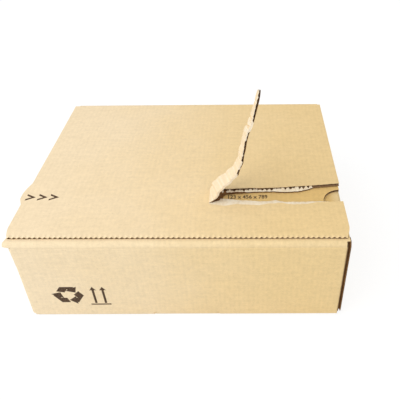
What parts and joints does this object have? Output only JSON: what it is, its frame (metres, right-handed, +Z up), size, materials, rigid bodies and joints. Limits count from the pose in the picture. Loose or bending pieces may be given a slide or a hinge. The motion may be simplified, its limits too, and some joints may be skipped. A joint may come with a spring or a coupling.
{
  "type": "corrugated mailing carton",
  "caption": "Closed corrugated mailing carton, folded from one sheet, with a glued lid and a partly torn opening strip that stands up.",
  "frame": {"origin": "middle of the carton's four walls, on the surface that it rests on", "axes": "+X along the front wall from the rounded corner to the glued corner, +Y from the front wall to the rear wall, +Z up"},
  "size_m": [0.318, 0.23, 0.2301],
  "materials": {
    "kraft_board": "matt brown kraft paper with a faint print of the flutes",
    "adhesive": "dried, slightly tacky film"
  },
  "bodies": {
    "root": {"carton": "kraft_board", "closure_adhesive": "adhesive", "joint_adhesive": "adhesive", "bottom_adhesive_front_left": "adhesive", "bottom_adhesive_rear_left": "adhesive", "bottom_adhesive_front_right": "adhesive", "bottom_adhesive_rear_right": "adhesive"}
  },
  "joints": []
}
